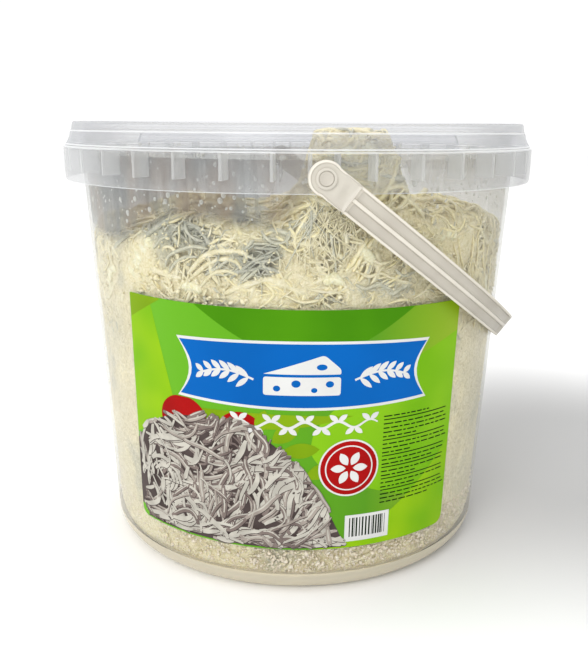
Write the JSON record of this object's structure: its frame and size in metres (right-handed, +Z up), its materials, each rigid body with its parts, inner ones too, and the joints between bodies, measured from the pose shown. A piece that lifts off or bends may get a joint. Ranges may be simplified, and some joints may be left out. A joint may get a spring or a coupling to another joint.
{
  "type": "lidded pail of shredded blue cheese",
  "caption": "Clear round plastic pail with a press-fit lid, a swinging strap handle and a wrap label, filled with shredded blue-veined cheese up to an uneven top.",
  "frame": {"origin": "middle of the foot ring's underside, on the pail's axis", "axes": "+Z up along the pail's axis; Y along the handle's pivot axis, with the labelled side towards -Y; the handle hangs towards +X"},
  "size_m": [0.226, 0.2352, 0.2042],
  "materials": {
    "clear_plastic": "clear moulded polypropylene, slightly milky",
    "lid_plastic": "clear moulded polypropylene, slightly milky",
    "cheese": "moist shredded curd, cream with blue-grey mould",
    "label_print": "printed film, semi-gloss",
    "handle_plastic": "white moulded polypropylene, satin"
  },
  "bodies": {
    "pail": {"pail": "clear_plastic", "lid": "lid_plastic", "cheese": "cheese", "label": "label_print"},
    "handle": {"handle": "handle_plastic"}
  },
  "joints": [
    {"name": "handle_swing", "type": "hinge", "parent": "pail", "child": "handle", "pos_m": [0, 0, 0.184], "axis": [0, -1, 0], "range_deg": [0, 255]}
  ]
}
